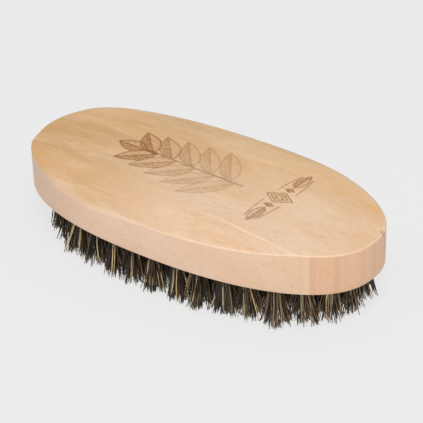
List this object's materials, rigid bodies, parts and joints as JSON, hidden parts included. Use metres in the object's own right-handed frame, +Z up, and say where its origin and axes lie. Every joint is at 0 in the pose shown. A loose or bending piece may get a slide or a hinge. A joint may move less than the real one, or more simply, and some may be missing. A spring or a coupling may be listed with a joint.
{
  "type": "beard brush",
  "caption": "Oval palm-held beard brush: a one-piece wooden block with a low crowned top and short mixed bristle tufts set in its underside.",
  "frame": {"origin": "on the plane that the bristle tips stand on, below the middle of the block", "axes": "+X along the block towards its slightly narrower end, +Y across it towards the edge with the narrower sanded flat, +Z up out of the crowned top"},
  "size_m": [0.12, 0.0588, 0.0262],
  "materials": {
    "block_wood": "sanded, pale fine-grained hardwood with a thin clear oil finish",
    "bristle": "stiff natural bristle, black, brown and straw mixed",
    "anchor_metal": "plain flat wire"
  },
  "bodies": {
    "root": {"centre_tufts_01": "bristle", "centre_tufts_02": "bristle", "centre_tufts_03": "bristle", "centre_tufts_04": "bristle", "inner_tufts_01": "bristle", "inner_tufts_02": "bristle", "inner_tufts_03": "bristle", "inner_tufts_04": "bristle", "inner_tufts_05": "bristle", "inner_tufts_06": "bristle", "inner_tufts_07": "bristle", "middle_tufts_01": "bristle", "middle_tufts_02": "bristle", "middle_tufts_03": "bristle", "middle_tufts_04": "bristle", "middle_tufts_05": "bristle", "middle_tufts_06": "bristle", "middle_tufts_07": "bristle", "middle_tufts_08": "bristle", "middle_tufts_09": "bristle", "middle_tufts_10": "bristle", "middle_tufts_11": "bristle", "middle_tufts_12": "bristle", "middle_tufts_13": "bristle", "outer_tuft_01": "bristle", "outer_tuft_02": "bristle", "outer_tuft_03": "bristle", "outer_tuft_04": "bristle", "outer_tuft_05": "bristle", "outer_tuft_06": "bristle", "outer_tuft_07": "bristle", "outer_tuft_08": "bristle", "outer_tuft_09": "bristle", "outer_tuft_10": "bristle", "outer_tuft_11": "bristle", "outer_tuft_12": "bristle", "outer_tuft_13": "bristle", "outer_tuft_14": "bristle", "outer_tuft_15": "bristle", "outer_tuft_16": "bristle", "outer_tuft_17": "bristle", "outer_tuft_18": "bristle", "outer_tuft_19": "bristle", "outer_tuft_20": "bristle", "outer_tuft_21": "bristle", "outer_tuft_22": "bristle", "outer_tuft_23": "bristle", "outer_tuft_24": "bristle", "outer_tuft_25": "bristle", "outer_tuft_26": "bristle", "outer_tuft_27": "bristle", "outer_tuft_28": "bristle", "outer_tuft_29": "bristle", "outer_tuft_30": "bristle", "outer_tuft_31": "bristle", "outer_tuft_32": "bristle", "outer_tuft_33": "bristle", "wooden_block": "block_wood"}
  },
  "joints": []
}
